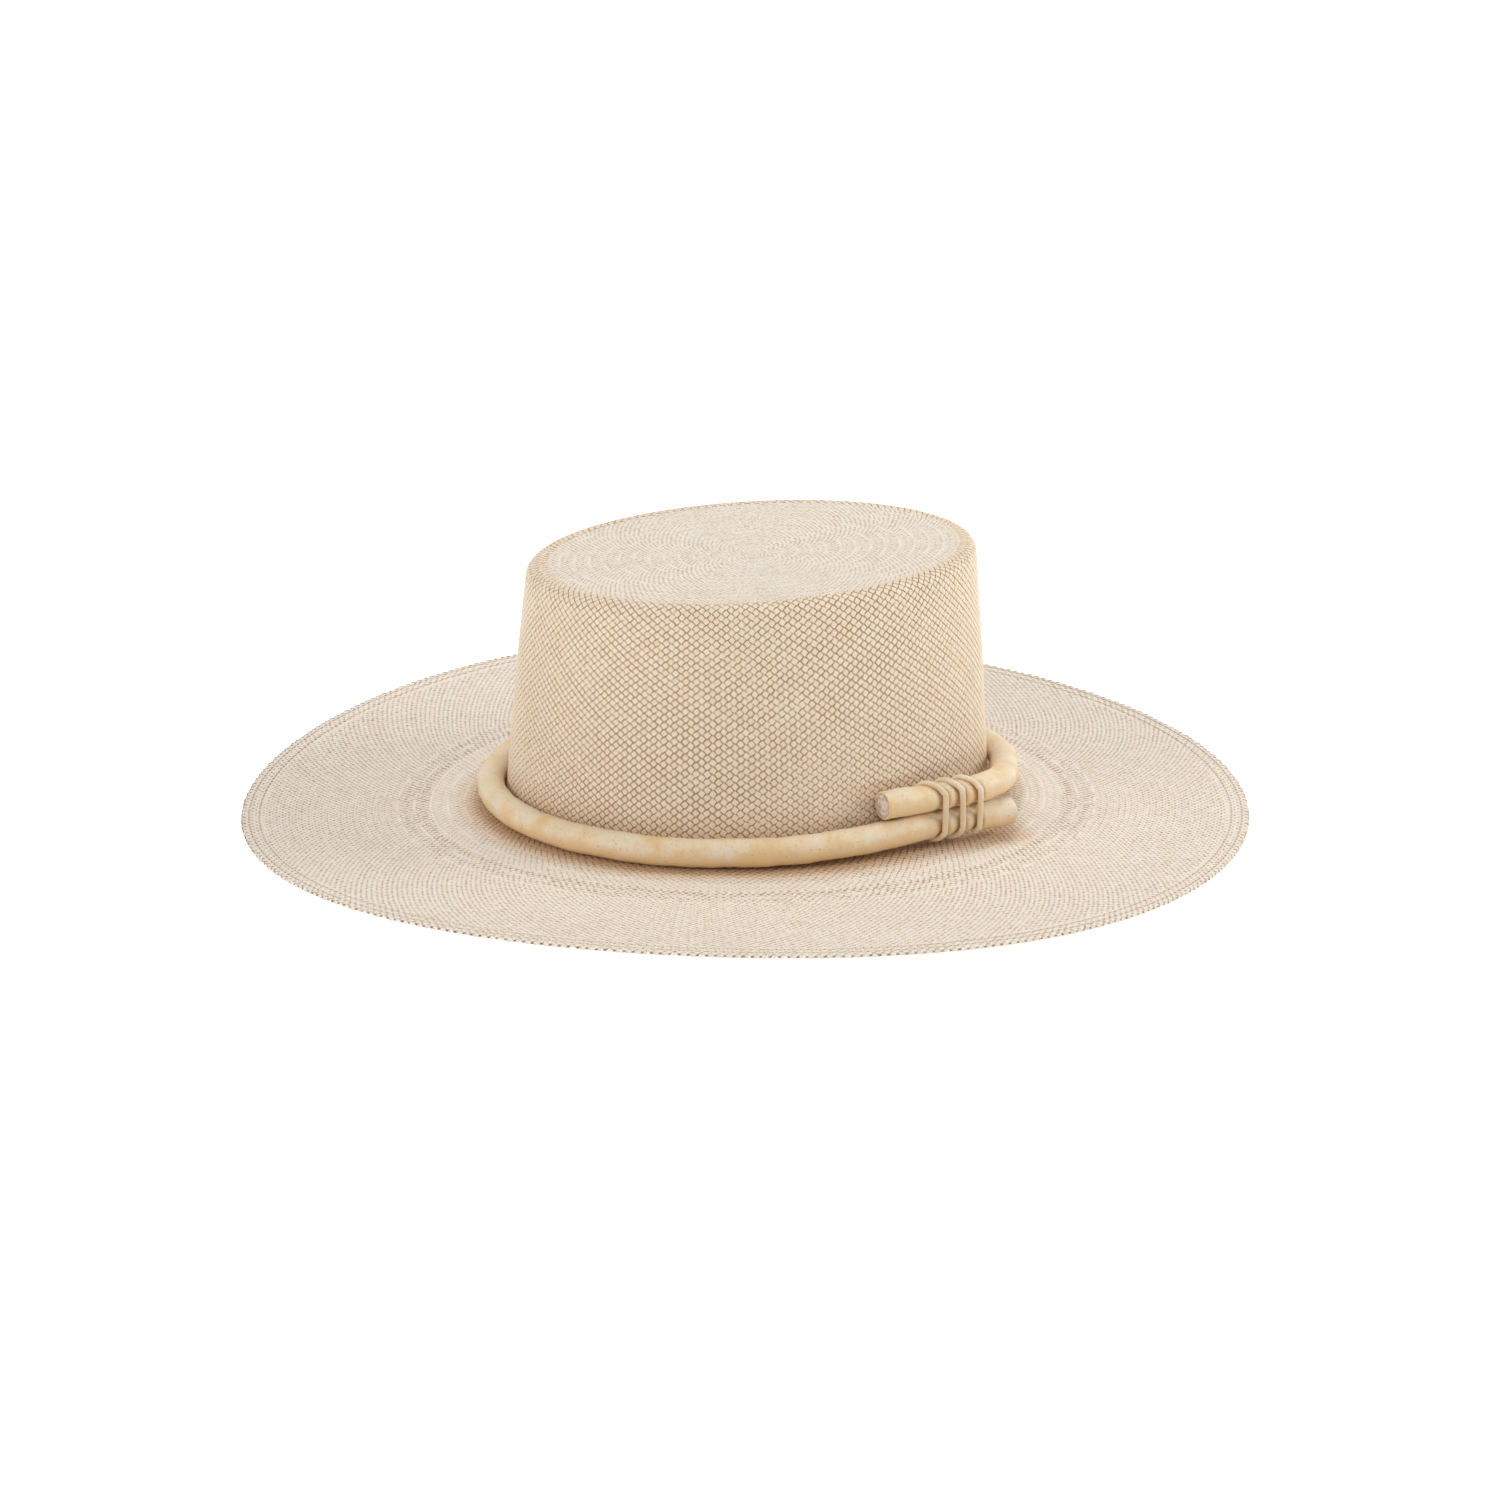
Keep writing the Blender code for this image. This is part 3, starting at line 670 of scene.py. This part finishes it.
def cloth(name, light, dark, scale):
    """Plain woven tape or thread: crossed waves over a mottled ground."""
    material, tree, surface = shader(name, 0.85, 0.2)
    place = object_place(tree)
    mottle = noise(tree, place, 300.0, 3.0)
    wave = node(tree, "ShaderNodeTexWave", Scale=scale, Distortion=1.5, Detail=2.0)
    wave.bands_direction = "DIAGONAL"
    tree.links.new(place, wave.inputs["Vector"])
    colour = mix(tree, mottle, light, dark)
    # Painted shade in the weave's hollows, where the wave dips
    weave_hollow_shade = ramp(tree, wave.outputs["Fac"], [(0.2, (0.5,) * 3), (0.6, (0.0,) * 3)])
    colour = mix(tree, weave_hollow_shade, colour, dark)
    tree.links.new(colour, surface.inputs["Base Color"])
    bump(tree, surface, wave.outputs["Fac"], 0.4, 0.0002)
    return material


def drawn_wire():
    material, tree, surface = shader("spring_wire", 0.32)
    surface.inputs["Metallic"].default_value = 1.0
    place = object_place(tree, (1.0, 1.0, 6.0))
    streaks = noise(tree, place, 900.0, 2.0)
    tree.links.new(ramp(tree, streaks, [(0.3, (0.45, 0.45, 0.46)), (0.7, (0.66, 0.66, 0.67))]),
                   surface.inputs["Base Color"])
    bump(tree, surface, streaks, 0.1, 0.0001)
    return material


def piping():
    material, tree, surface = shader("sweatband_piping", 0.38)
    streaks = noise(tree, object_place(tree), 400.0, 2.0)
    tree.links.new(ramp(tree, streaks, [(0.3, (0.74, 0.71, 0.64)), (0.7, (0.82, 0.80, 0.74))]),
                   surface.inputs["Base Color"])
    bump(tree, surface, streaks, 0.1, 0.0001)
    return material


# --- Rope band ---


def on_lashing(reach, height):
    point = LASHING + LASHING_WAY * reach
    point.z = height
    return point


def on_crown(degrees, height):
    angle = radians(degrees)
    across, along = BASE_LONG * cos(angle), BASE_WIDE * sin(angle)
    square = Vector((across, along, 0.0)) / hypot(across, along)
    point = Vector((BASE_WIDE * cos(angle), BASE_LONG * sin(angle), 0.0))
    point += square * (ROPE_RADIUS + ROPE_CLEARANCE)
    point.z = height
    return point


def rope_route():
    """Points chosen along the rope, from its lower cut end forwards round the crown to the upper one."""
    lower = [on_lashing(LOWER_END_REACH * share, LOWER_HEIGHT) for share in (1.0, 0.6, 0.0, -0.45)]
    lower += [on_crown(16, 8.5 * MM), on_crown(2, 7.7 * MM), on_crown(-14, 6.9 * MM)]
    round_crown = [on_crown(degrees, ROPE_HEIGHT) for degrees in range(-34, -240, -17)]
    rising = [on_crown(-255, 7.2 * MM), on_crown(-272, 9.0 * MM), on_crown(-287, 11.6 * MM)]
    swing_out = [
        Vector((49.4 * MM, 92.4 * MM, 15.8 * MM)),
        Vector((65.2 * MM, 84.8 * MM, 18.6 * MM)),
        Vector((75.8 * MM, 76.6 * MM, 20.2 * MM)),
    ]
    upper = [on_lashing(UPPER_END_REACH * share, UPPER_HEIGHT) for share in (0.35, 0.0, -0.35, -0.7, -1.0)]
    return lower + round_crown + rising + swing_out + upper


def between(before, start, end, after, share):
    bend = 2 * before - 5 * start + 4 * end - after
    twist = 3 * start - before - 3 * end + after
    return start + 0.5 * share * (end - before + share * (bend + share * twist))


def smooth_route(route, spacing):
    """Evenly spaced points on one smooth curve through the route's points."""
    ends = [2 * route[0] - route[1]] + route + [2 * route[-1] - route[-2]]
    fine = [route[0]]
    for first in range(len(route) - 1):
        for step in range(1, 25):
            fine.append(between(*ends[first:first + 4], step / 24))
    walked = [0.0]
    for here, there in zip(fine, fine[1:]):
        walked.append(walked[-1] + (there - here).length)
    count = round(walked[-1] / spacing)
    points = []
    at = 0
    for step in range(count):
        target = walked[-1] * step / count
        while walked[at + 1] < target:
            at += 1
        share = (target - walked[at]) / (walked[at + 1] - walked[at])
        points.append(fine[at].lerp(fine[at + 1], share))
    return points + [fine[-1]]


def lace_bites(point):
    """How much the lace presses into the rope at a point of its line, from 0 to 1."""
    away = point - LASHING
    reach = away.dot(LASHING_WAY)
    away.z = 0.0
    if (away - LASHING_WAY * reach).length > 3 * MM:
        return 0.0
    upper = point.z > (LOWER_HEIGHT + UPPER_HEIGHT) / 2
    places = [(turn + (0.08 if upper else 0.14)) * LACE_PITCH for turn in (-1, 0, 1)]
    return sum(np.exp(-((reach - place) / (1.8 * MM)) ** 2) for place in places)


def tube_of(name, points, radius, radii=None, sides=3, caps=False):
    """A round tube along points, made a mesh, standing at the hat's height."""
    curve = bpy.data.curves.new(name, "CURVE")
    curve.dimensions = "3D"
    curve.twist_mode = "Z_UP"
    curve.bevel_depth = radius
    curve.bevel_resolution = sides
    curve.use_fill_caps = caps
    line = curve.splines.new("POLY")
    line.points.add(len(points) - 1)
    line.use_smooth = True
    for step, (spot, point) in enumerate(zip(line.points, points)):
        spot.co = (point.x, point.y, point.z + STAND, 1.0)
        spot.radius = radii[step] if radii else 1.0
    obj = bpy.data.objects.new(name, curve)
    bpy.context.scene.collection.objects.link(obj)
    select_only(obj)
    bpy.ops.object.convert(target="MESH")
    obj = bpy.context.view_layer.objects.active
    obj.data.shade_smooth()
    return obj


def select_only(obj):
    bpy.ops.object.select_all(action="DESELECT")
    obj.select_set(True)
    bpy.context.view_layer.objects.active = obj


def apply_all(obj):
    select_only(obj)
    for modifier in list(obj.modifiers):
        bpy.ops.object.modifier_apply(modifier=modifier.name)


def uneven(obj, size, strength):
    """Presses slow unevenness into a piece, as a hand-sewn skin has."""
    clouds = bpy.data.textures.new(f"{obj.name}_unevenness", "CLOUDS")
    clouds.noise_scale = size
    displace = obj.modifiers.new("unevenness", "DISPLACE")
    displace.texture = clouds
    displace.texture_coords = "LOCAL"
    displace.strength = strength
    displace.mid_level = 0.5


def underside_of(obj):
    """Marks how far each point of a piece faces down, for the painted warm shade on that side of the leather.
    """
    normals = np.zeros(len(obj.data.vertices) * 3, np.float32)
    obj.data.vertex_normals.foreach_get("vector", normals)
    mark(obj, "underside", np.clip(0.5 - 0.5 * normals.reshape(-1, 3)[:, 2], 0, 1))


def band_sleeve(material):
    """A tube of hide round the rope, uneven along its length and pinched in where the lace crosses it, with
    painted shade beside the lace.
    """
    points = smooth_route(rope_route(), 1.0 * MM)
    radii = [1.02 - 0.18 * lace_bites(point) for point in points]
    obj = tube_of("rope_leather", points, ROPE_RADIUS, radii, 8)
    uneven(obj, 0.009, 0.9 * MM)
    wall = obj.modifiers.new("leather thickness", "SOLIDIFY")
    wall.thickness = SLEEVE
    wall.offset = -1.0
    edge = obj.modifiers.new("worn cut edge", "BEVEL")
    edge.width = 0.25 * MM
    edge.segments = 2
    edge.limit_method = "ANGLE"
    edge.angle_limit = radians(60)
    apply_all(obj)
    # Painted warm shade on the leather's side facing down
    underside_of(obj)
    spots = np.array([vertex.co for vertex in obj.data.vertices])
    lace = np.array(lace_route()) + (0.0, 0.0, STAND)
    # Painted shade on the leather close to the lace
    mark(obj, "pressed", np.clip((3.1 * MM - gap_to(lace, spots)) / (1.5 * MM), 0, 1))
    finish_piece(obj, material, "rope_band", "band_leather", "band_sleeve")


def carried_on(points, by):
    first = points[0] + (points[0] - points[1]).normalized() * by
    last = points[-1] + (points[-1] - points[-2]).normalized() * by
    return [first] + points + [last]


def band_core(material):
    """Pressed fibre, cut rough at both ends."""
    points = carried_on(smooth_route(rope_route(), 3.0 * MM), 0.35 * MM)
    obj = tube_of("rope_fibre", points, ROPE_RADIUS - SLEEVE - 0.12 * MM, None, 8, caps=True)
    select_only(obj)
    bpy.ops.object.mode_set(mode="EDIT")
    bpy.ops.mesh.select_all(action="SELECT")
    bpy.ops.mesh.remove_doubles(threshold=0.00001)
    bpy.ops.mesh.select_all(action="DESELECT")
    bpy.ops.object.mode_set(mode="OBJECT")
    for face in obj.data.polygons:
        face.select = len(face.vertices) > 4
    bpy.ops.object.mode_set(mode="EDIT")
    bpy.ops.mesh.select_mode(type="FACE")
    for width in (0.5, 0.7, 0.8, 0.8, 0.8):
        bpy.ops.mesh.inset(thickness=width * MM)
    bpy.ops.mesh.poke()
    bpy.ops.object.mode_set(mode="OBJECT")
    ends = [point + Vector((0.0, 0.0, STAND)) for point in (points[0], points[-1])]
    ways = [(points[0] - points[1]).normalized(), (points[-1] - points[-2]).normalized()]
    for vertex in obj.data.vertices:
        for end, way in zip(ends, ways):
            away = vertex.co - end
            if abs(away.dot(way)) < 0.05 * MM and away.length < 4.0 * MM:
                vertex.co += way * float(CHANCE.normal(0.05, 0.22)) * MM
    finish_piece(obj, material, "rope_band", "rope_core", "band_core")


def lace_line(turns):
    """A point on the lace, a number of turns behind the lashing's middle, round both strands.

    The lace slants over the upper strand, bows out in front and slants back underneath.
    """
    turn = 2 * pi * turns
    out = Vector((LASHING_WAY.y, -LASHING_WAY.x, 0.0))
    reach = ROPE_RADIUS - 0.9 * MM + LACE_RADIUS
    whole = np.floor(turns)
    advance = whole + np.interp(turns - whole, (0.0, 0.13, 0.25, 0.38, 0.5, 0.75, 1.0),
                                (-0.34, 0.10, 0.26, 0.20, -0.12, 0.30, 0.66))
    centre = on_lashing(float(advance) * LACE_PITCH, UPPER_HEIGHT if cos(turn) > 0 else LOWER_HEIGHT)
    return centre + out * reach * sin(turn) + Vector((0.0, 0.0, reach * cos(turn)))


def lace_route():
    count = 3 * 16
    return smooth_route([lace_line(-1.35 + 2.75 * step / count) for step in range(count + 1)], 0.6 * MM)


def band_lace(material):
    """Three turns, with both ends tucked in between the rope and the crown."""
    obj = tube_of("rope_lace", lace_route(), LACE_RADIUS, None, 4, caps=True)
    # Painted warm shade on the lace's side facing down
    underside_of(obj)
    finish_piece(obj, material, "rope_band", "lace_leather", "band_lace")


# --- Stage ---


def camera():
    """A long lens, a little above the brim, to the hat's left front."""
    data = bpy.data.cameras.new("camera")
    data.lens = 100.4
    data.sensor_width = 36.0
    data.shift_x = 0.0012
    data.shift_y = 0.0263
    obj = bpy.data.objects.new("camera", data)
    bpy.context.scene.collection.objects.link(obj)
    away = Vector((0.8706, -0.3615, 0.3338)).normalized()
    distance, roll = 1.727, radians(1.14)
    place = Vector((0.0, 0.0, STAND)) + away * distance
    turn = away.to_track_quat("Z", "Y").to_matrix().to_4x4()
    obj.matrix_world = Matrix.Translation(place) @ turn @ Matrix.Rotation(roll, 4, "Z")
    bpy.context.scene.camera = obj


def area_light(name, place, aim, size, power, colour):
    data = bpy.data.lights.new(name, "AREA")
    data.shape = "DISK"
    data.size = size
    data.energy = power
    data.color = colour
    obj = bpy.data.objects.new(name, data)
    bpy.context.scene.collection.objects.link(obj)
    obj.location = place
    obj.rotation_euler = (Vector(place) - Vector(aim)).to_track_quat("Z", "Y").to_euler()


def studio():
    bpy.ops.object.select_all(action="DESELECT")
    bpy.ops.mesh.primitive_plane_add(size=30.0, location=(0.0, 0.0, 0.0))
    floor = bpy.context.view_layer.objects.active
    floor.name = "studio_floor"
    material, tree, surface = shader("pale_floor", 0.9, 0.1)
    surface.inputs["Base Color"].default_value = (0.93, 0.93, 0.93, 1.0)
    surface.inputs["Emission Color"].default_value = (0.94, 0.97, 1.0, 1.0)
    surface.inputs["Emission Strength"].default_value = 0.5
    floor.data.materials.append(material)
    world = bpy.data.worlds.new("soft_studio")
    world.use_nodes = True
    world.node_tree.nodes["Background"].inputs["Color"].default_value = (1.0, 0.95, 0.89, 1.0)
    world.node_tree.nodes["Background"].inputs["Strength"].default_value = 0.45
    bpy.context.scene.world = world
    middle = (0.0, 0.0, 0.05)
    area_light("overhead_softbox", (-0.45, 0.25, 1.9), middle, 1.1, 15.0, (0.98, 0.99, 1.0))
    area_light("right_softbox", (0.6, 1.7, 0.9), middle, 0.9, 15.0, (1.0, 0.965, 0.90))
    area_light("left_softbox", (0.6, -1.8, 0.8), middle, 0.9, 11.0, (1.0, 0.95, 0.89))
    bpy.context.scene.view_settings.view_transform = "Standard"


def carried_over():
    """The pieces whose shape is right as it is get their finishes."""
    finishes = {
        "brim_wire": drawn_wire(),
        "sweatband": leather("sweatband_hide", (0.66, 0.49, 0.33), (0.60, 0.43, 0.28), (0.50, 0.34, 0.21)),
        "sweatband_reed": piping(),
        "reed_tape": cloth("reed_tape_cotton", (0.82, 0.75, 0.63), (0.62, 0.53, 0.41), 900.0),
        "sweatband_thread": cloth("sweatband_cotton", (0.76, 0.64, 0.48), (0.56, 0.44, 0.30), 1400.0),
        "sweatband_bow": cloth("bow_ribbon", (0.74, 0.62, 0.48), (0.58, 0.46, 0.33), 1100.0),
    }
    for name, material in finishes.items():
        mesh = frame["nodes"][name].data
        mesh.materials.clear()
        mesh.materials.append(material)


def main():
    carried_over()
    tip_rings_end = weave_tip()
    weave_crown(tip_rings_end)
    weave_brim()
    sew_hem(cloth("hem_cotton", (0.90, 0.85, 0.77), (0.84, 0.77, 0.66), 1400.0),
            cloth("hem_needle_shadow", (0.66, 0.38, 0.16), (0.50, 0.26, 0.10), 1400.0))
    band_sleeve(leather("band_hide", (0.84, 0.75, 0.60), (0.83, 0.69, 0.48), (0.80, 0.58, 0.32)))
    band_core(pressed_fibre("rope_fibre"))
    band_lace(leather("lace_hide", (0.86, 0.76, 0.60), (0.83, 0.71, 0.53), (0.78, 0.62, 0.42), 1.5))
    studio()
    camera()


main()
